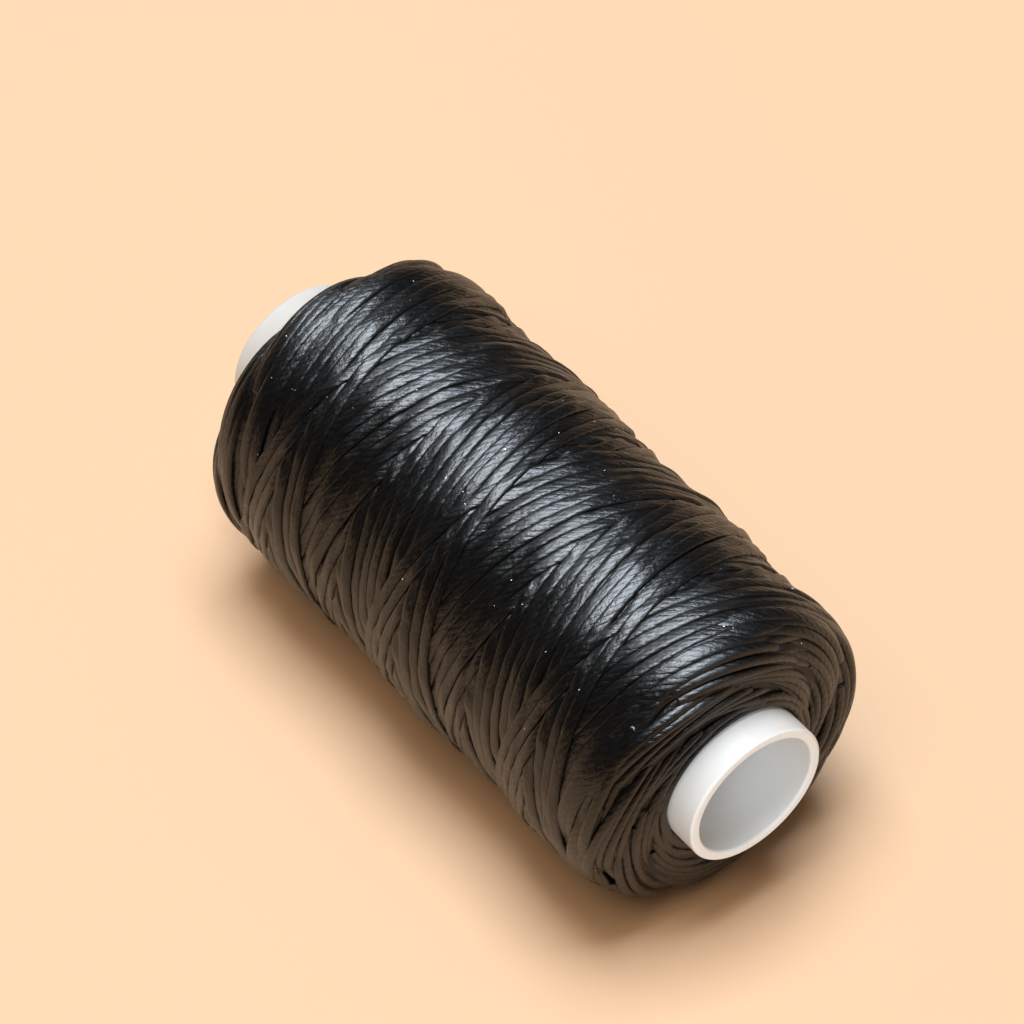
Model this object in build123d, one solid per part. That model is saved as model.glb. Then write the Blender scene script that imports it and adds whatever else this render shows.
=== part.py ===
from build123d import *
import math
import os

# Waxed thread spool: a bobbin-less cross-wound package of flat waxed thread
# on a plain moulded plastic tube. Millimetres.
#
# Frame: the spool lies on its side. +X runs along the tube's axis, +Z is up,
# and the origin is on the surface it lies on, under the middle of the tube.

# ---- driving dimensions -------------------------------------------------
PACKAGE_DIAMETER = 30.0      # over the winding
WINDING_LENGTH = 55.2        # along the tube, from end to end of the winding
SHOULDER_LENGTH = 6.9        # axial length of each rounded end of the winding
SHOULDER_POWER = 4.3         # superellipse power of the rounded ends
WINDING_OFFSET = 1.35        # middle of the winding, from the middle of the tube
                             # (the tube stands out further at the -X end)

TUBE_OUTER_DIAMETER = 13.7
TUBE_INNER_DIAMETER = 11.8
TUBE_LENGTH = 63.3
LIP_OUTER_RADIUS = 0.50      # rounding of each lip's outer edge
LIP_INNER_RADIUS = 0.25      # rounding of each lip's inner edge

SHOULDER_POINTS = 15         # points of the spline along one rounded end

# ---- worked out ---------------------------------------------------------
R = PACKAGE_DIAMETER / 2.0
RT = TUBE_OUTER_DIAMETER / 2.0
RI = TUBE_INNER_DIAMETER / 2.0
HALF_TUBE = TUBE_LENGTH / 2.0
HALF_WIND = WINDING_LENGTH / 2.0
STRAIGHT = HALF_WIND - SHOULDER_LENGTH
AXIS_Z = R                   # the winding rests on the surface

os.makedirs("parts", exist_ok=True)


def revolve_about_tube(profile):
    """Turn a profile drawn in the XZ plane (X along the tube, Z the radius)
    about the X axis, and lift it so that the winding rests on Z = 0."""
    solid = revolve(profile, Axis.X, 360)
    return Pos(0, 0, AXIS_Z) * solid


# ---- core tube ----------------------------------------------------------
# A plain moulded tube, open right through, with rounded lips that leave a
# narrow flat ring at each end.
with BuildSketch(Plane.XZ) as tube_wall:
    with Locations((0, (RT + RI) / 2.0)):
        Rectangle(TUBE_LENGTH, RT - RI)
    outer_corners = [v for v in tube_wall.vertices() if v.Z > (RT + RI) / 2.0]
    fillet(outer_corners, LIP_OUTER_RADIUS)
    inner_corners = [v for v in tube_wall.vertices() if v.Z < RI + 1e-4
                     and abs(abs(v.X) - HALF_TUBE) < 1e-4]
    fillet(inner_corners, LIP_INNER_RADIUS)
core_tube = revolve_about_tube(tube_wall.sketch)


# ---- thread winding -----------------------------------------------------
# One continuous thread, held here as the closed solid of the package: a
# straight crown and a rounded shoulder at each end, where the thread turns
# back, running down to the tube.
def shoulder(sign):
    """Points of one rounded end, from the crown down to the tube."""
    depth = R - RT
    pts = []
    for i in range(SHOULDER_POINTS):
        t = math.pi / 2.0 * i / (SHOULDER_POINTS - 1)
        x = SHOULDER_LENGTH * math.sin(t) ** (2.0 / SHOULDER_POWER)
        r = RT + depth * math.cos(t) ** (2.0 / SHOULDER_POWER) if t < math.pi / 2 else RT
        pts.append((WINDING_OFFSET + sign * (STRAIGHT + x), r))
    return pts


near = shoulder(+1)
far = shoulder(-1)
with BuildSketch(Plane.XZ) as package:
    with BuildLine():
        Polyline(far[0], near[0])
        Spline(*near, tangents=[(1, 0), (0, -1)])
        Polyline(near[-1], far[-1])
        Spline(*far[::-1], tangents=[(0, 1), (1, 0)])
    make_face()
thread_winding = revolve_about_tube(package.sketch)

export_step(core_tube, "parts/core_tube.step")
export_step(thread_winding, "parts/thread_winding.step")

for name, solid in (("core_tube", core_tube), ("thread_winding", thread_winding)):
    box = solid.bounding_box()
    print(name, "volume", round(solid.volume, 1), "mm3, box",
          tuple(round(v, 3) for v in box.min), tuple(round(v, 3) for v in box.max))
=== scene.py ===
import math
import bpy
import numpy as np
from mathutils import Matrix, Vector


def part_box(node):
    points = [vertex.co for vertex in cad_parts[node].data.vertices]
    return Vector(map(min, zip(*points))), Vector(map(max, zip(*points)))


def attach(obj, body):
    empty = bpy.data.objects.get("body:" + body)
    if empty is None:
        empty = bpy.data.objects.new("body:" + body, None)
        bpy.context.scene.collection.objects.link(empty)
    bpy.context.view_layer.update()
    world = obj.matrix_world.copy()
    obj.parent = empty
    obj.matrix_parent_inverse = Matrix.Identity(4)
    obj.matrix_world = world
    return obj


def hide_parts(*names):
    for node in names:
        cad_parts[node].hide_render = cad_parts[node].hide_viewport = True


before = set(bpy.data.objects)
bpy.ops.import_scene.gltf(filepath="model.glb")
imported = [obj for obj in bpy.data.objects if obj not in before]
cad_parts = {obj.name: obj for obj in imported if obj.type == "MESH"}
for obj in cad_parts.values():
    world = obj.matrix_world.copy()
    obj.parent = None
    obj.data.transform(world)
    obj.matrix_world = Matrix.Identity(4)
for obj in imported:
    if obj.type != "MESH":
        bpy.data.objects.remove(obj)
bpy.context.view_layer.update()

# =====================================================================
# Places and sizes, all from the frame. Winding work is done in millimetres.
# =====================================================================
wind_lo, wind_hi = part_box("thread_winding")
tube_lo, tube_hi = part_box("core_tube")
AXIS_Z = (tube_lo.z + tube_hi.z) / 2 * 1000
R = (wind_hi.y - wind_lo.y) / 2 * 1000            # over the winding
HALF = (wind_hi.x - wind_lo.x) / 2 * 1000          # half the winding's length
XC = (wind_hi.x + wind_lo.x) / 2 * 1000            # its middle
RT = (tube_hi.y - tube_lo.y) / 2 * 1000            # tube, outside
RI = RT - 0.95                                     # tube, inside
TUBE_HALF = (tube_hi.x - tube_lo.x) / 2 * 1000

SHOULDER = 6.9             # axial length of a rounded end
SHOULDER_POWER = 4.3
STRAIGHT = HALF - SHOULDER

PITCH = 17.8               # advance of the thread along the tube in one turn
ADVANCE = 1.08             # from one strand to its neighbour, along the tube
RING = 0.85                # where the middle row of crossings lies
PEAK_R, PEAK_L = 24.0, 23.6   # how far out the newest layer turns, each end
TIP = math.radians(12.0)   # where the newest strands cross, from the top
HALF_W, HALF_T = 0.56, 0.27   # half-width and half-thickness of the thread
SQUARE, END_SQUARE = 3.1, 2.0 # how boxy its section is: flattened, and on the ends
END_W, END_T = 0.43, 0.46     # on the ends the turns roll it up rounder
LAYER_STEP = 1.30             # each layer turns back this much further out
FACE_STEP = 0.90              # from ridge to ridge down an end face
FACE_SLOPE = 1.95             # mm a turn climbs over the one before it, per radian
INSET_R, INSET_X = 1.95, 1.15   # laid surface, in from the outside of the winding
BELOW_R, BELOW_X = 0.40, 0.28   # mean height of the thread, below the outside

SWELL_KEPT = 0.5           # share of the slow swell round the winding that is kept
UNDER_DIVE = 0.46          # how deep the layer under each shoulder lies
FACE_PROUD = 0.0          # how far its ridges stand proud of the outside
FACE_DIVE = 2.0            # how fast a ridge sinks away from where it turns, mm per square radian
RELIEF_CROWN, RELIEF_END = 0.62, 0.42   # how much of the pile stays, pressed down by tension
NT = 720                   # columns round the tube
DS = 0.1                   # mm between rows along the profile
PASSES = 38                # double passes laid; the newest is number 0
SHOWN = 17                 # newest double passes kept whole
SLOPE = PITCH / (2 * math.pi)
DTH = 2 * math.pi / NT


# =====================================================================
# The winding: each stretch of thread is laid on those before it.
# Theta is measured from the top towards the camera's side (-Y).
# =====================================================================
def base_profile():
    rb = R - INSET_R
    t = np.linspace(0, math.pi / 2, 4001)
    c = np.clip(np.cos(t), 0, 1) ** (2 / SHOULDER_POWER)
    s = np.sin(t) ** (2 / SHOULDER_POWER)
    x = np.r_[np.linspace(0, STRAIGHT, 800, endpoint=False), STRAIGHT + (SHOULDER - INSET_X) * s]
    r = np.r_[np.full(800, rb), RT + (rb - RT) * c]
    length = np.r_[0, np.cumsum(np.hypot(np.diff(x), np.diff(r)))]
    sg = np.arange(0, length[-1], DS)
    xs, rs = np.interp(sg, length, x), np.interp(sg, length, r)
    k = np.hanning(23)[1:-1]
    k /= k.sum()
    m = len(k) // 2
    xq = np.convolve(np.r_[2 * xs[0] - xs[m:0:-1], xs, 2 * xs[-1] - xs[-2:-m - 2:-1]], k, "valid")
    rq = np.convolve(np.r_[rs[m:0:-1], rs, 2 * rs[-1] - rs[-2:-m - 2:-1]], k, "valid")
    dx, dr = np.gradient(xq), np.gradient(rq)
    n = np.hypot(dx, dr)
    return sg, xs, rs, -dr / n, dx / n


SG, PX, PR, PNX, PNR = base_profile()
S_MAX = SG[-1]
NH = len(SG)
NS = 2 * NH - 1
ROW_S = (np.arange(NS) - (NH - 1)) * DS


def room():
    """How far the outside of the winding lies above the laid surface."""
    d = np.linspace(0, 4, 801)[None, :]
    x = PX[:, None] + PNX[:, None] * d
    r = PR[:, None] + PNR[:, None] * d
    f = (np.clip(x - STRAIGHT, 0, None) / SHOULDER) ** SHOULDER_POWER + (np.clip(r - RT, 0, None) / (R - RT)) ** SHOULDER_POWER
    return d[0, np.argmax(f >= 1, axis=1)]


ROOM = room()
MEAN = np.interp(np.abs(ROW_S), SG, ROOM - BELOW_R * PNR ** 2 - BELOW_X * PNX ** 2)


def profile(sig):
    a, sgn = np.abs(sig), np.sign(sig)
    return (np.interp(a, SG, PX) * sgn, np.interp(a, SG, PR),
            np.interp(a, SG, PNX) * sgn, np.interp(a, SG, PNR))


def strand_size(sig):
    """Half-width and half-thickness of the thread where it lies, and how far
    it is rolled up."""
    t = np.clip((np.abs(sig) - STRAIGHT - 3.3) / 1.5, 0, 1)
    t = t * t * (3 - 2 * t)
    spread = 0.11 * np.exp(-((np.abs(sig) - STRAIGHT - 3.1) / 1.9) ** 2)
    return HALF_W + spread + (END_W - HALF_W) * t, HALF_T + (END_T - HALF_T) * t, t


def strand_top(v, half_w, half_t, t):
    k = SQUARE + (END_SQUARE - SQUARE) * t
    return half_t * np.clip(1 - np.abs(v / half_w) ** k, 0, None) ** (1 / k)


def smooth(a, w):
    k = np.hanning(w + 2)[1:-1]
    k /= k.sum()
    m = len(k) // 2
    return np.convolve(np.pad(a, (m, len(k) - 1 - m), mode="edge"), k, "valid")


def taut(creq, kap):
    """A thread pulled taut over the heights creq: it touches the high places
    and runs straight between them, on a drum of curvature kap."""
    q = np.cumsum(np.cumsum(kap * R * DTH * DTH))
    g = (creq - q).tolist()
    hull = []
    for i, gi in enumerate(g):
        while len(hull) >= 2:
            i0, i1 = hull[-2], hull[-1]
            if (g[i1] - g[i0]) * (i - i1) <= (gi - g[i1]) * (i1 - i0):
                hull.pop()
            else:
                break
        hull.append(i)
    return np.interp(np.arange(len(g)), hull, [g[i] for i in hull]) + q


class Winding:
    def __init__(self):
        self.h = np.zeros((NS, NT))
        self.top = np.full((NS, NT), -1, dtype=np.int32)
        self.settled = np.zeros(NS)
        self.runs = []
        self.n = 0
        self.core = None

    def lay(self, col, sig, before=None, dive=None):
        """Lay one stretch. before is the height it arrives at."""
        j = np.arange(-6, 7)
        rows = np.rint(sig / DS).astype(int)[:, None] + NH - 1 + j
        v = (rows - (NH - 1)) * DS - sig[:, None]
        half_w, half_t, roll = (a[:, None] for a in strand_size(sig))
        inside = (rows >= 0) & (rows < NS) & (np.abs(v) < half_w)
        rows = np.clip(rows, 0, NS - 1)
        cc = np.broadcast_to((col % NT)[:, None], rows.shape)
        h = self.h[rows, cc]
        y = strand_top(v, half_w, half_t, roll)
        n_in = np.maximum(inside.sum(1), 1)
        high = np.where(inside & (np.abs(v) < 0.85 * half_w), h + 0.8 * y, -9.0).max(1)
        mean = np.where(inside, h, 0).sum(1) / n_in + half_t[:, 0] * 0.6
        creq = smooth(0.72 * high + 0.28 * np.minimum(mean, high), 5)
        if before is not None:
            m = min(len(before), 60)
            pre_c = before[-m:]
        else:
            m, pre_c = 0, np.zeros(0)
        _, r, nx, nr = profile(sig)
        kap = np.clip(nr, 0.05, 1) * np.clip(r / R, 0.4, 1)
        ext = np.r_[pre_c, creq]
        line = taut(ext, np.r_[np.full(m, kap[0]), kap])
        c = smooth(0.8 * line + 0.2 * ext, 11)[m:]
        if dive is not None:
            c = c - dive
        side_p, side_m = inside & (v > 0.1), inside & (v < -0.1)
        hp = np.where(side_p, h, 0).sum(1) / np.maximum(side_p.sum(1), 1)
        hm = np.where(side_m, h, 0).sum(1) / np.maximum(side_m.sum(1), 1)
        lim = 0.30 - 0.12 * np.clip((np.abs(sig) - STRAIGHT) / 3.5, 0, 1)
        lean = np.clip(smooth((hp - hm) / half_w[:, 0], 15) * 0.42, -lim, lim)
        newh = c[:, None] + lean[:, None] * v + y
        upd = inside & (newh > h)
        self.h[rows[upd], cc[upd]] = newh[upd]
        self.top[rows[upd], cc[upd]] = self.n
        self.runs.append(dict(id=self.n, col=col, sig=sig, c=c, lean=lean, settled=self.settled.copy()))
        self.n += 1
        return c

    def place(self, col, sig, dive):
        """Put a stretch at the outside of the winding, dive mm in."""
        half_w, half_t, roll = strand_size(sig)
        c = np.interp(np.abs(sig), SG, ROOM) - 0.04 - half_t - dive
        j = np.arange(-6, 7)
        rows = np.rint(sig / DS).astype(int)[:, None] + NH - 1 + j
        v = (rows - (NH - 1)) * DS - sig[:, None]
        inside = (rows >= 0) & (rows < NS) & (np.abs(v) < half_w[:, None])
        rows = np.clip(rows, 0, NS - 1)
        cc = np.broadcast_to((col % NT)[:, None], rows.shape)
        newh = c[:, None] + strand_top(v, half_w[:, None], half_t[:, None], roll[:, None])
        upd = inside & (newh > self.h[rows, cc])
        self.h[rows[upd], cc[upd]] = newh[upd]
        self.top[rows[upd], cc[upd]] = self.n
        self.runs.append(dict(id=self.n, col=col, sig=sig, c=c, lean=np.zeros(len(c)), settled=self.settled.copy(), placed=True))
        self.n += 1

    def settle(self):
        """The thread beds down: the mean surface goes no higher than MEAN."""
        m = self.h.mean(1)
        k = np.hanning(41)[1:-1]
        k /= k.sum()
        m = np.convolve(np.pad(m, 19, mode="edge"), k, "valid")
        over = np.maximum(m - MEAN, 0)
        self.h -= over[:, None]
        self.settled += over


def wind():
    rng = np.random.default_rng(11)
    w = Winding()

    a_r, a_l = RING + 1.5 * PITCH - ADVANCE / 2, RING - 1.5 * PITCH
    span = (a_r - a_l) / SLOPE
    start = TIP - (a_r - RING - ADVANCE * PASSES) / SLOPE
    per_layer = PITCH / ADVANCE
    creep = LAYER_STEP / per_layer

    # the buried layers show on the end faces: first the turns against the
    # tube, then every place where the thread came out, turned and went back
    for side in (1, -1):
        th0 = rng.uniform(0, 2 * math.pi)
        cols = int(th0 / DTH) + np.arange(int(2.6 * NT))
        turn = np.arange(len(cols)) / NT
        dive = 0.9 * np.clip(1 - turn / 0.16, 0, 1) ** 1.5 + 0.9 * np.clip(1 - (turn[-1] - turn) / 0.16, 0, 1) ** 1.5
        w.place(cols, side * (S_MAX - 0.42 - 0.8 * np.clip(turn - 1, 0, None)), dive)
        tip0 = start + (0 if side > 0 else span)
        s_end = (PEAK_R if side > 0 else PEAK_L) - 0.1
        down = FACE_STEP / per_layer
        for m in range(int((S_MAX - 0.9 - s_end) / down), -13, -2):
            tip = tip0 - 2 * m * span + rng.normal(0, 0.03)
            s = s_end + down * m + rng.normal(0, 0.045)
            n = int(rng.uniform(0.50, 0.80) / DTH)
            i0 = int(round(tip / DTH))
            cols = np.arange(i0 - n, i0 + n + 1)
            d = (cols - i0) * DTH
            sig = s - FACE_SLOPE * rng.uniform(0.88, 1.12) * d
            p = rng.uniform(0, 6.28, 3)
            sig = sig + 0.05 * np.sin(2.3 * d + p[0]) + 0.04 * np.sin(5.1 * d + p[1])
            dive = FACE_DIVE * rng.uniform(0.7, 1.2) * np.clip(np.abs(d + rng.uniform(-0.08, 0.18)) - rng.uniform(0.0, 0.10), 0, None) ** 2
            w.place(cols, side * np.minimum(sig, S_MAX - 0.4), dive - FACE_PROUD + rng.normal(0, 0.04))

    # and the layer just under each shoulder, seen between the strands
    for side in (1, -1):
        th0 = rng.uniform(0, 2 * math.pi)
        s0, s1 = STRAIGHT + 0.2, S_MAX - 1.2
        n = int((s1 - s0) / 0.86 * NT)
        cols = int(th0 / DTH) + np.arange(n)
        nz = smooth(np.interp(np.arange(n) / 110, np.arange(n // 110 + 2), rng.normal(0, 1, n // 110 + 2)), 55)
        at = s0 + (s1 - s0) * np.arange(n) / n + 0.10 * nz
        face = np.clip((at - (PEAK_R if side > 0 else PEAK_L) - 0.8) / 1.2, 0, 1)
        tuck = 1.0 * np.clip(1 - np.minimum(np.arange(n), np.arange(n)[::-1]) / 130, 0, 1) ** 1.5
        w.place(cols, side * at, UNDER_DIVE + 0.10 * face + tuck)

    # the cross-wound passes, out and back, newest last
    seq = [(k, f) for k in range(PASSES, -1, -1) for f in ("B", "F")]
    total = int((len(seq) * span) / DTH) + 2
    first = int(math.ceil(start / DTH))
    cols = np.arange(first, first + total)
    th = cols * DTH
    which = np.clip(((th - start) / span).astype(int), 0, len(seq) - 1)
    local = th - start - which * span
    back = np.array([f == "B" for _, f in seq])[which]
    # how far the rounded turn peaks; older layers turned further out
    older = np.clip((total - np.arange(total)) * DTH / (2 * span), 0, per_layer)
    sig = np.where(back, a_r - SLOPE * local, a_l + SLOPE * local)
    for end, d in ((0, local), (1, span - local)):
        at_right = back if end == 0 else ~back
        amp = np.where(at_right, a_r, -a_l)
        peak = np.where(at_right, PEAK_R, PEAK_L) + np.minimum(creep * older, 0.85)
        w_turn = 4 * (amp - peak) / SLOPE
        cut = np.where(d < w_turn / 2, SLOPE * (d * d / w_turn + w_turn / 4) - SLOPE * d, 0)
        sig = sig - np.where(at_right, cut, -cut)
    # hand-like unevenness: each pass drifts a little, and each strand wanders
    drift = np.cumsum(rng.normal(0, 0.035, len(seq))) * ADVANCE
    drift -= drift[-1] * np.linspace(0, 1, len(seq))
    drift += rng.normal(0, 0.055, len(seq))
    jit = smooth(drift[which], 241)
    wander = np.zeros(total)
    for size, length in ((0.055, 400), (0.035, 150), (0.02, 50)):
        nz = rng.normal(0, 1, total // length + 4)
        wander += size * smooth(np.interp(np.arange(total) / length, np.arange(len(nz)), nz), length // 2)
    sig = sig + jit + wander

    edges = [int(math.ceil((start + i * span) / DTH)) - first for i in range(len(seq) + 1)]
    before = None
    for i, (k, f) in enumerate(seq):
        a, b = max(edges[i], 0), min(edges[i + 1], total)
        if k == SHOWN + 1 and f == "B":
            w.core = (w.h.copy(), w.settled.copy())
        before = w.lay(cols[a:b], sig[a:b], before)
        w.runs[-1]["pass"] = k
        w.settle()
    w.level = level_field(w)
    return w


def level_field(w):
    """Two fields over the surface: what to take off every height, so that the
    finished winding follows its outside, and the share of the relief about
    the mean that is pressed flat."""
    h = w.h
    ks = np.hanning(43)[1:-1]
    ks /= ks.sum()
    pad = len(ks) // 2
    hs = np.apply_along_axis(lambda a: np.convolve(np.pad(a, pad, mode="edge"), ks, "valid"), 0, h)
    m = hs.mean(1)
    kt = np.hanning(83)[1:-1]
    kt /= kt.sum()
    f = np.fft.rfft(np.pad(kt, (0, NT - len(kt))))
    sw = np.fft.irfft(np.fft.rfft(hs - m[:, None], axis=1) * f, NT, axis=1)
    sw = np.roll(sw, -(len(kt) // 2), axis=1)
    end = np.clip((np.abs(ROW_S) - STRAIGHT + 1.0) / 4.0, 0, 1)
    k = SWELL_KEPT + (0.10 - SWELL_KEPT) * end
    local = m[:, None] + sw
    press = np.broadcast_to((1 - RELIEF_CROWN - (RELIEF_END - RELIEF_CROWN) * end)[:, None], h.shape)
    return (m - MEAN)[:, None] + (1 - k)[:, None] * sw, local, press


def pressed(w, c, sig, col):
    off, local, press = (sample(f, sig, col) for f in w.level)
    return c - off - press * (c - local)


def sample(field, sig, col):
    r = np.clip(sig / DS + NH - 1, 0, NS - 1.001)
    i = r.astype(int)
    f = r - i
    c = col % NT
    return field[i, c] * (1 - f) + field[i + 1, c] * f


def stretches(w):
    """The kept stretches: (columns, sigma, height, lean) with the settling
    since they were laid taken off. The newest passes come as one whole
    thread; of the older ones only what shows between the newer strands."""
    out = []
    whole = []
    for r in w.runs:
        c = r["c"] - (np.interp(r["sig"], ROW_S, w.settled) - np.interp(r["sig"], ROW_S, r["settled"]))
        if "placed" in r:
            out.append((r["col"], r["sig"], r["c"], r["lean"]))
            continue
        c = pressed(w, c, r["sig"], r["col"])
        k = r.get("pass")
        if k is not None and k <= SHOWN:
            whole.append([r["col"], r["sig"], c, r["lean"]])
            continue
        rows = np.clip(np.rint(r["sig"] / DS).astype(int)[:, None] + NH - 1 + np.arange(-5, 6), 0, NS - 1)
        seen = (w.top[rows, (r["col"] % NT)[:, None]] == r["id"]).sum(1) >= 1
        seen = smooth(seen.astype(float), 71) > 0.002
        edge = np.flatnonzero(np.diff(np.r_[0, seen.astype(int), 0]))
        for a, b in zip(edge[::2], edge[1::2]):
            if b - a > 44:
                i = np.arange(a, b)
                to_end = np.minimum(np.where(a > 0, i - a, 99), np.where(b < len(c), b - 1 - i, 99))
                under = 0.9 * np.clip(1 - to_end / 32, 0, 1) ** 1.5
                out.append((r["col"][a:b], r["sig"][a:b], c[a:b] - under, r["lean"][a:b]))
    # both ends of the shown thread are tucked in
    tuck = 1.3 * np.clip(1 - np.arange(90) / 90, 0, 1) ** 1.5
    whole[0][2][:90] -= tuck
    whole[-1][2][-90:] -= tuck[::-1]
    return whole, out


def line_frame(col, sig, c, lean):
    """Points of the thread's middle line in mm, and its width and thickness
    directions."""
    x, r, nx, nr = profile(sig)
    th = col * DTH
    st, ct = np.sin(th), np.cos(th)
    radial = np.stack([np.zeros_like(th), -st, ct], 1)
    along = np.array([1.0, 0, 0])
    n = nx[:, None] * along + nr[:, None] * radial
    b = nr[:, None] * along - nx[:, None] * radial
    p = np.stack([XC + x, -r * st, AXIS_Z + r * ct], 1) + c[:, None] * n
    t = np.gradient(p, axis=0)
    t /= np.linalg.norm(t, axis=1)[:, None]
    b = b + lean[:, None] * n
    b = b - (b * t).sum(1)[:, None] * t
    b /= np.linalg.norm(b, axis=1)[:, None]
    nn = np.cross(t, b)
    flip = np.sign((nn * n).sum(1))[:, None]
    return p, b, nn * flip


def section(n, k, half_w, half_t):
    """Points evenly spaced round the thread's section, on a unit scale, their
    outward directions, and its perimeter in mm."""
    a = np.arange(2001) / 2000 * 2 * math.pi
    v = np.sign(np.cos(a)) * np.abs(np.cos(a)) ** (2 / k)
    h = np.sign(np.sin(a)) * np.abs(np.sin(a)) ** (2 / k)
    d = np.r_[0, np.cumsum(np.hypot(np.diff(v) * half_w, np.diff(h) * half_t))]
    q = np.arange(n) / n
    sv, sh = np.interp(q * d[-1], d, v), np.interp(q * d[-1], d, h)
    tv, th = (np.roll(sv, -1) - np.roll(sv, 1)) * half_w, (np.roll(sh, -1) - np.roll(sh, 1)) * half_t
    t = np.hypot(tv, th)
    return sv, sh, th / t, -tv / t, d[-1]


def new_mesh(name, verts, loop_verts, loop_start, loop_total, uvs=None, smooth_shade=True):
    me = bpy.data.meshes.new(name)
    me.vertices.add(len(verts))
    me.vertices.foreach_set("co", np.ascontiguousarray(verts, dtype=np.float32).ravel())
    me.loops.add(len(loop_verts))
    me.loops.foreach_set("vertex_index", np.ascontiguousarray(loop_verts, dtype=np.int32))
    me.polygons.add(len(loop_start))
    me.polygons.foreach_set("loop_start", np.ascontiguousarray(loop_start, dtype=np.int32))
    me.polygons.foreach_set("loop_total", np.ascontiguousarray(loop_total, dtype=np.int32))
    if uvs is not None:
        for key, uv in uvs.items():
            layer = me.uv_layers.new(name=key)
            layer.data.foreach_set("uv", np.ascontiguousarray(uv, dtype=np.float32).ravel())
    me.update(calc_edges=True)
    me.validate()
    me.polygons.foreach_set("use_smooth", np.full(len(me.polygons), smooth_shade))
    ob = bpy.data.objects.new(name, me)
    bpy.context.scene.collection.objects.link(ob)
    return ob


PLIES, LAY = 5, 5.0        # plies twisted round the thread, mm for one turn of them
PLY_DEPTH = 0.008          # how deep the grooves between them are


def thread_object(name, parts, n_sec, step):
    """One mesh of swept thread from several stretches, its plies twisting
    round it. The map named Strand is mm along and the share of the way
    round; the other lays the same strip out in rows that fill a square."""
    v0s, h0s, ov, oh, per = section(n_sec, SQUARE, HALF_W, HALF_T)
    v1s, h1s = section(n_sec, END_SQUARE, END_W, END_T)[:2]
    sv, sh = np.stack([v0s, v1s]), np.stack([h0s, h1s])
    pf = np.arange(n_sec + 1) / n_sec
    lines = []
    along0 = 0.0
    for col, sig, c, lean in parts:
        p, b, n = line_frame(col, sig, c, lean)
        idx = np.unique(np.r_[np.arange(0, len(col), step), len(col) - 1])
        length = np.r_[0, np.cumsum(np.linalg.norm(np.diff(p, axis=0), axis=1))][idx] + along0
        along0 = length[-1] + 0.6
        half_w, half_t, roll = strand_size(sig[idx])
        lines.append((p[idx], b[idx], n[idx], length, half_w, half_t, roll))
    total = along0
    # rows: as many as make the strip as dense one way as the other
    rows = max(int(math.ceil(math.sqrt(total / (per * 1.25)))), 1)
    row_len = total / rows * 1.002
    verts, lv, ls, lt, uv, bake = [], [], [], [], [], []
    v0, l0 = 0, 0
    for p, b, n, length, half_w, half_t, roll in lines:
        m = len(length)
        ply = pf[None, :-1] - length[:, None] / LAY
        off = -PLY_DEPTH * (1 - np.abs(np.sin(math.pi * PLIES * ply)) ** 0.7) if n_sec > 12 else np.zeros((m, n_sec))
        one_r = 1 - roll[:, None]
        cv = (sv[0] * one_r + sv[1] * roll[:, None]) * half_w[:, None] + off * ov[None, :]
        ch = (sh[0] * one_r + sh[1] * roll[:, None]) * half_t[:, None] + off * oh[None, :]
        ring = p[:, None, :] + cv[:, :, None] * b[:, None, :] + ch[:, :, None] * n[:, None, :]
        verts.append(ring.reshape(-1, 3))
        i = np.arange(m - 1)[:, None]
        j = np.arange(n_sec)[None, :]
        j2 = (j + 1) % n_sec
        quad = np.stack([v0 + i * n_sec + j, v0 + i * n_sec + j2,
                         v0 + (i + 1) * n_sec + j2, v0 + (i + 1) * n_sec + j], -1)
        lv.append(quad.reshape(-1))
        nq = (m - 1) * n_sec
        ls.append(l0 + np.arange(nq) * 4)
        lt.append(np.full(nq, 4))
        shape = (m - 1, n_sec)
        row = np.minimum((0.5 * (length[:-1] + length[1:]) / row_len).astype(int), rows - 1)

        def corner(lng, frac):
            a = np.broadcast_to(lng[:, None], shape)
            f = np.broadcast_to(frac[None, :], shape)
            u = 0.004 + 0.992 * (lng - row * row_len) / row_len
            return (np.stack([a, f], -1),
                    np.stack([np.broadcast_to(u[:, None], shape), (row[:, None] + 0.05 + 0.9 * f) / rows], -1))
        quads = [corner(length[:-1], pf[:-1]), corner(length[:-1], pf[1:]),
                 corner(length[1:], pf[1:]), corner(length[1:], pf[:-1])]
        uv.append(np.stack([q[0] for q in quads], 2).reshape(-1, 2))
        bake.append(np.stack([q[1] for q in quads], 2).reshape(-1, 2))
        l0 += nq * 4
        for end, order in ((0, -1), (m - 1, 1)):
            lv.append(v0 + end * n_sec + np.arange(n_sec)[::order])
            ls.append(np.array([l0]))
            lt.append(np.array([n_sec]))
            f = pf[:-1][::order]
            r = row[0 if end == 0 else -1]
            u = 0.004 + 0.992 * (length[end] - r * row_len) / row_len
            uv.append(np.stack([np.full(n_sec, length[end]), f], -1))
            bake.append(np.stack([np.full(n_sec, u), (r + 0.05 + 0.9 * f) / rows], -1))
            l0 += n_sec
        v0 += m * n_sec
    return new_mesh(name, np.concatenate(verts) * 0.001, np.concatenate(lv), np.concatenate(ls),
                    np.concatenate(lt), {"Strand": np.concatenate(uv), "OFBake": np.clip(np.concatenate(bake), 0, 1)})


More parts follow.
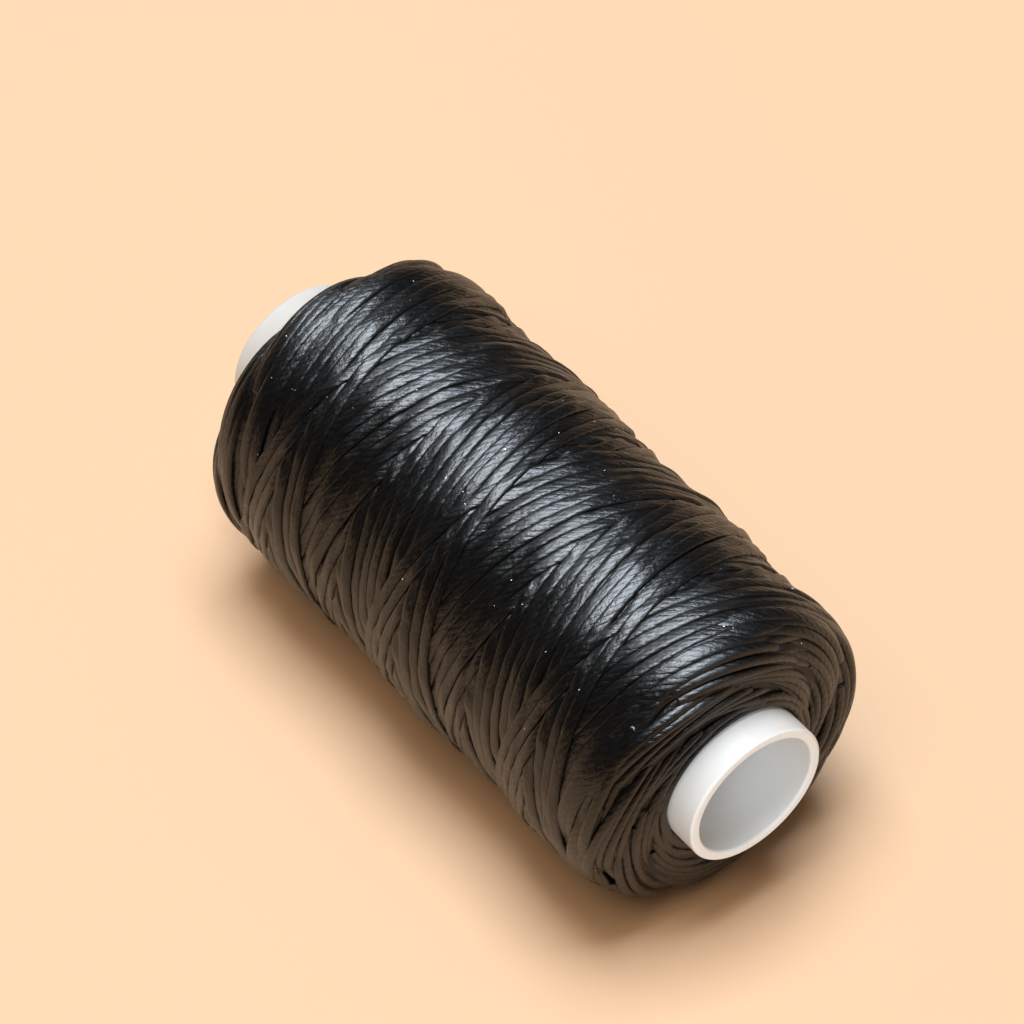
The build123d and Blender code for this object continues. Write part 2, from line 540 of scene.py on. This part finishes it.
def core_object(w):
    """The buried winding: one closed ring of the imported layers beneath."""
    h, settled = w.core
    off, local, press = w.level
    h = h - (w.settled - settled)[:, None]
    h = h - off - press * (h - local)
    low = h.copy()
    for s in (-2, -1, 1, 2):
        low = np.minimum(low, np.roll(h, s, 1))
    for s in (1, 2, 3):
        low[s:] = np.minimum(low[s:], h[:-s])
        low[:-s] = np.minimum(low[:-s], h[s:])
    low = np.maximum(low - 0.14, -0.6)
    rs, cs = 3, 4
    rows = np.r_[np.arange(0, NS - 1, rs), NS - 1]
    cols = np.arange(0, NT, cs)
    hh = low[np.ix_(rows, cols)]
    x, r, nx, nr = profile(ROW_S[rows])
    th = cols * DTH
    rr = r[:, None] + hh * nr[:, None]
    xx = XC + x[:, None] + hh * nx[:, None]
    rr[0] = rr[-1] = RT + 0.02
    rr = np.maximum(rr, RT + 0.02)
    pts = np.stack([xx, -rr * np.sin(th), AXIS_Z + rr * np.cos(th)], -1)
    m, n = pts.shape[:2]
    # inner wall, against the tube
    k = 6
    f = np.linspace(1, 0, k + 2)[1:-1]
    xi = xx[0].mean() * (1 - f) + xx[-1].mean() * f
    inner = np.stack([np.broadcast_to(xi[:, None], (k, n)),
                      np.broadcast_to(-(RT + 0.02) * np.sin(th), (k, n)),
                      np.broadcast_to(AXIS_Z + (RT + 0.02) * np.cos(th), (k, n))], -1)
    allp = np.concatenate([pts, inner])
    mm = m + k
    i = np.arange(mm)[:, None]
    j = np.arange(n)[None, :]
    i2, j2 = (i + 1) % mm, (j + 1) % n
    quad = np.stack([i * n + j, i * n + j2, i2 * n + j2, i2 * n + j], -1).reshape(-1)
    nq = mm * n
    return new_mesh("thread_core", allp.reshape(-1, 3) * 0.001, quad, np.arange(nq) * 4, np.full(nq, 4))


# =====================================================================
# Materials
# =====================================================================
def material(name):
    m = bpy.data.materials.new(name)
    m.use_nodes = True
    nt = m.node_tree
    nt.nodes.clear()
    out = nt.nodes.new("ShaderNodeOutputMaterial")
    bsdf = nt.nodes.new("ShaderNodeBsdfPrincipled")
    nt.links.new(bsdf.outputs[0], out.inputs[0])
    return m, nt, bsdf


def node(nt, kind, inputs=None, **attrs):
    n = nt.nodes.new(kind)
    for k, v in attrs.items():
        setattr(n, k, v)
    for k, v in (inputs or {}).items():
        if hasattr(v, "is_output"):
            nt.links.new(v, n.inputs[k])
        else:
            n.inputs[k].default_value = v
    return n


def math_node(nt, op, a, b=0.0, c=0.0, clamp=False):
    n = nt.nodes.new("ShaderNodeMath")
    n.operation = op
    n.use_clamp = clamp
    for i, v in enumerate((a, b, c)):
        if hasattr(v, "is_output"):
            nt.links.new(v, n.inputs[i])
        else:
            n.inputs[i].default_value = v
    return n.outputs[0]


def ramp(nt, fac, stops):
    n = nt.nodes.new("ShaderNodeValToRGB")
    e = n.color_ramp.elements
    while len(e) < len(stops):
        e.new(0.5)
    for el, (pos, col) in zip(e, stops):
        el.position = pos
        el.color = (*col, 1.0)
    nt.links.new(fac, n.inputs[0])
    return n.outputs[0]


def thread_material():
    m, nt, bsdf = material("waxed_thread")
    uv = node(nt, "ShaderNodeUVMap", uv_map="Strand").outputs[0]
    sep = node(nt, "ShaderNodeSeparateXYZ", {0: uv})
    s, p = sep.outputs[0], sep.outputs[1]
    # q counts plies: it is whole in the groove between two plies
    q = math_node(nt, "MULTIPLY", math_node(nt, "SUBTRACT", p, math_node(nt, "DIVIDE", s, LAY)), PLIES)
    warp_v = node(nt, "ShaderNodeCombineXYZ", {0: math_node(nt, "MULTIPLY", s, 0.9), 1: math_node(nt, "MULTIPLY", p, 3.0)}).outputs[0]
    warp = node(nt, "ShaderNodeTexNoise", {"Vector": warp_v, "Scale": 1.0, "Detail": 2.0}).outputs[0]
    q = math_node(nt, "ADD", q, math_node(nt, "MULTIPLY", math_node(nt, "SUBTRACT", warp, 0.5), 0.5))
    ply = math_node(nt, "POWER", math_node(nt, "ABSOLUTE", math_node(nt, "SINE", math_node(nt, "MULTIPLY", q, math.pi))), 0.6)
    # filaments run along the plies
    fil_v = node(nt, "ShaderNodeCombineXYZ", {0: math_node(nt, "MULTIPLY", q, 4.2), 1: math_node(nt, "MULTIPLY", s, 1.1)}).outputs[0]
    fil = node(nt, "ShaderNodeTexNoise", {"Vector": fil_v, "Scale": 1.0, "Detail": 3.0, "Roughness": 0.6}).outputs[0]
    # and the wax and fibre make fine uneven flecks
    fleck_v = node(nt, "ShaderNodeCombineXYZ", {0: math_node(nt, "MULTIPLY", s, 1.8), 1: math_node(nt, "MULTIPLY", p, 13.0),
                                                2: math_node(nt, "MULTIPLY", q, 0.35)}).outputs[0]
    fleck = node(nt, "ShaderNodeTexNoise", {"Vector": fleck_v, "Scale": 1.0, "Detail": 2.0, "Roughness": 0.55}).outputs[0]
    # wax lies in uneven patches
    geo = node(nt, "ShaderNodeTexCoord").outputs["Object"]
    patch = node(nt, "ShaderNodeTexNoise", {"Vector": geo, "Scale": 420.0, "Detail": 3.0, "Roughness": 0.55}).outputs[0]
    speck = node(nt, "ShaderNodeTexNoise", {"Vector": geo, "Scale": 2600.0, "Detail": 1.0}).outputs[0]
    # thread colour: fibre tone that varies at random along the filaments, plus painted shade that darkens the grooves
    # between plies
    fibre_tone_and_groove_shade = math_node(nt, "ADD", math_node(nt, "MULTIPLY", fil, 0.65), math_node(nt, "MULTIPLY", ply, 0.35))
    col = ramp(nt, fibre_tone_and_groove_shade, [(0.25, (0.0006, 0.0005, 0.0005)), (0.55, (0.0013, 0.0012, 0.0011)), (0.85, (0.0035, 0.0032, 0.003))])
    speck_m = math_node(nt, "GREATER_THAN", speck, 0.815)
    mix = node(nt, "ShaderNodeMix", {0: speck_m}, data_type="RGBA")
    nt.links.new(col, mix.inputs[6])
    mix.inputs[7].default_value = (0.55, 0.53, 0.50, 1)
    nt.links.new(mix.outputs[2], bsdf.inputs["Base Color"])
    rough = node(nt, "ShaderNodeMapRange", {0: math_node(nt, "ADD", math_node(nt, "MULTIPLY", patch, 0.5), math_node(nt, "MULTIPLY", fil, 0.5)),
                                            1: 0.3, 2: 0.7, 3: 0.36, 4: 0.43}).outputs[0]
    nt.links.new(rough, bsdf.inputs["Roughness"])
    bsdf.inputs["Specular IOR Level"].default_value = 0.55
    # the fibres run along the thread, so its gloss spreads across it
    bsdf.inputs["Anisotropic"].default_value = 0.60
    bsdf.inputs["Anisotropic Rotation"].default_value = 0.25
    nt.links.new(node(nt, "ShaderNodeTangent", direction_type="RADIAL", axis="X").outputs[0], bsdf.inputs["Tangent"])
    bsdf.inputs["Specular Tint"].default_value = (1.0, 0.96, 0.9, 1.0)
    height = math_node(nt, "ADD", math_node(nt, "MULTIPLY", ply, 0.30), math_node(nt, "MULTIPLY", fil, 0.40))
    height = math_node(nt, "ADD", height, math_node(nt, "MULTIPLY", fleck, 1.0))
    bump = node(nt, "ShaderNodeBump", {"Height": height, "Strength": 1.0, "Distance": 0.00006}).outputs[0]
    nt.links.new(bump, bsdf.inputs["Normal"])
    return m


def core_material():
    m, nt, bsdf = material("buried_thread")
    geo = node(nt, "ShaderNodeTexCoord").outputs["Object"]
    nz = node(nt, "ShaderNodeTexNoise", {"Vector": geo, "Scale": 900.0, "Detail": 3.0}).outputs[0]
    col = ramp(nt, nz, [(0.3, (0.0025, 0.0025, 0.0027)), (0.7, (0.008, 0.008, 0.009))])
    nt.links.new(col, bsdf.inputs["Base Color"])
    bsdf.inputs["Roughness"].default_value = 0.6
    bump = node(nt, "ShaderNodeBump", {"Height": nz, "Strength": 0.6, "Distance": 0.0001}).outputs[0]
    nt.links.new(bump, bsdf.inputs["Normal"])
    return m


def plastic_material():
    m, nt, bsdf = material("white_plastic")
    geo = node(nt, "ShaderNodeTexCoord").outputs["Object"]
    nz = node(nt, "ShaderNodeTexNoise", {"Vector": geo, "Scale": 160.0, "Detail": 4.0, "Roughness": 0.6}).outputs[0]
    col = ramp(nt, nz, [(0.3, (0.72, 0.72, 0.715)), (0.7, (0.77, 0.77, 0.765))])
    nt.links.new(col, bsdf.inputs["Base Color"])
    rough = node(nt, "ShaderNodeMapRange", {0: nz, 1: 0.3, 2: 0.7, 3: 0.30, 4: 0.42}).outputs[0]
    nt.links.new(rough, bsdf.inputs["Roughness"])
    bsdf.inputs["Subsurface Weight"].default_value = 0.15
    bsdf.inputs["Subsurface Radius"].default_value = (0.0012, 0.0010, 0.0008)
    bump = node(nt, "ShaderNodeBump", {"Height": nz, "Strength": 0.12, "Distance": 0.00008}).outputs[0]
    nt.links.new(bump, bsdf.inputs["Normal"])
    return m


def floor_material():
    m, nt, bsdf = material("floor")
    geo = node(nt, "ShaderNodeTexCoord").outputs["Object"]
    nz = node(nt, "ShaderNodeTexNoise", {"Vector": geo, "Scale": 6.0, "Detail": 2.0}).outputs[0]
    col = ramp(nt, nz, [(0.3, (0.779, 0.574, 0.404)), (0.7, (0.795, 0.586, 0.412))])
    nt.links.new(col, bsdf.inputs["Base Color"])
    bsdf.inputs["Roughness"].default_value = 0.7
    bsdf.inputs["Specular IOR Level"].default_value = 0.2
    return m


def groups(parts, most=8000):
    """Stretches grouped so that no piece is too fine a mesh."""
    out, n = [[]], 0
    for p in parts:
        if out[-1] and n + len(p[0]) > most:
            out.append([])
            n = 0
        out[-1].append(p)
        n += len(p[0])
    return out


# =====================================================================
# Build
# =====================================================================
w = wind()
whole, seen = stretches(w)
N_SEC, STEP = ((20, 2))
mat_thread = thread_material()

one = [np.concatenate([p[i] for p in whole]) for i in range(4)]
N_PIECES = 9
cut = np.linspace(0, len(one[0]) - 1, N_PIECES + 1).astype(int)
thread_pieces = []
for i in range(N_PIECES):
    a, b = cut[i], cut[i + 1] + 1
    thread_pieces.append(thread_object("thread_outer_%02d" % (i + 1), [[q[a:b] for q in one]], N_SEC, STEP))
right = [p for p in seen if p[1].mean() > 0]
left = [p for p in seen if p[1].mean() <= 0]
for side, parts in (("right", right), ("left", left)):
    for i, group in enumerate(groups(parts)):
        thread_pieces.append(thread_object("thread_end_%s_%d" % (side, i + 1), group, N_SEC, STEP))
for ob in thread_pieces:
    ob.data.materials.append(mat_thread)
    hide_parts("thread_winding")
    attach(ob, "root")
core = core_object(w)
core.data.materials.append(core_material())
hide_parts("thread_winding")
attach(core, "root")

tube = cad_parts["core_tube"]
tube.data.materials.clear()
tube.data.materials.append(plastic_material())

# =====================================================================
# Floor, light, camera
# =====================================================================
fl = new_mesh("floor", np.array([[-2, -2, 0], [2, -2, 0], [2, 2, 0], [-2, 2, 0]], float),
              np.array([0, 1, 2, 3]), np.array([0]), np.array([4]), smooth_shade=False)
fl.data.materials.append(floor_material())

world = bpy.data.worlds.new("studio")
bpy.context.scene.world = world
world.use_nodes = True
bg = world.node_tree.nodes["Background"]
bg.inputs[0].default_value = (1.0, 0.73, 0.50, 1)
bg.inputs[1].default_value = 0.18
world.cycles_visibility.glossy = False

target = Vector((XC, 0, AXIS_Z)) * 0.001


def area(name, direction, dist, size, power, color=(1, 1, 1)):
    l = bpy.data.lights.new(name, "AREA")
    l.shape = "RECTANGLE"
    l.size, l.size_y = size
    l.energy = power
    l.color = color
    o = bpy.data.objects.new(name, l)
    d = Vector(direction).normalized()
    o.location = target + d * dist
    o.rotation_mode = "QUATERNION"
    o.rotation_quaternion = (-d).to_track_quat("-Z", "Y")
    bpy.context.scene.collection.objects.link(o)
    return o


area("key", (-0.08, 0.03, 0.99), 0.8, (0.42, 0.42), 6.7, (0.97, 0.99, 1.0))
front = area("front", (0.15, -0.36, 0.92), 0.9, (0.5, 0.5), 2.6, (1.0, 0.73, 0.50))
front.visible_glossy = False


def only(light, name, things):
    """Let a light reach these things and nothing else."""
    c = bpy.data.collections.new(name)
    for ob in things:
        c.objects.link(ob)
    light.light_linking.receiver_collection = c


# the pale tube gets light into its mouth, the black thread is lit harder
fill = area("fill", (0.76, -0.48, 0.44), 0.9, (0.8, 0.8), 7.0, (0.84, 0.94, 1.0))
fill.visible_glossy = False
only(fill, "pale_tube", [tube])
only(front, "not_the_tube", thread_pieces + [core, fl])
only(area("sheen", (-0.08, 0.113, 0.99), 0.8, (0.42, 0.42), 14.6, (0.65, 0.80, 1.0)), "dark_thread", thread_pieces)
# the room beside it shows in the ridges of the end face
only(area("side", (0.79, 0.57, 0.27), 0.9, (0.9, 0.4), 0.5, (1.0, 0.88, 0.70)), "thread_side", thread_pieces)

cam = bpy.data.cameras.new("camera")
cam_ob = bpy.data.objects.new("camera", cam)
bpy.context.scene.collection.objects.link(cam_ob)
bpy.context.scene.camera = cam_ob
cam.sensor_width = 36
cam.lens = 5540 / 1024 * 36
cam.clip_start, cam.clip_end = 0.01, 20
az, el = math.radians(52.05), math.radians(49.09)
bk = Vector((math.sin(az) * math.cos(el), -math.cos(az) * math.cos(el), math.sin(el)))
rt = (-bk).cross(Vector((0, 0, 1))).normalized()
up = rt.cross(-bk)
unit = R * 0.001
cam_target = target + rt * (-0.09255 * unit) + up * (0.34632 * unit)
cam_ob.location = cam_target + bk * (31.30 * unit)
cam_ob.rotation_mode = "QUATERNION"
cam_ob.rotation_quaternion = (-bk).to_track_quat("-Z", "Y")

bpy.context.scene.view_settings.view_transform = "Standard"
bpy.context.scene.view_settings.look = "None"
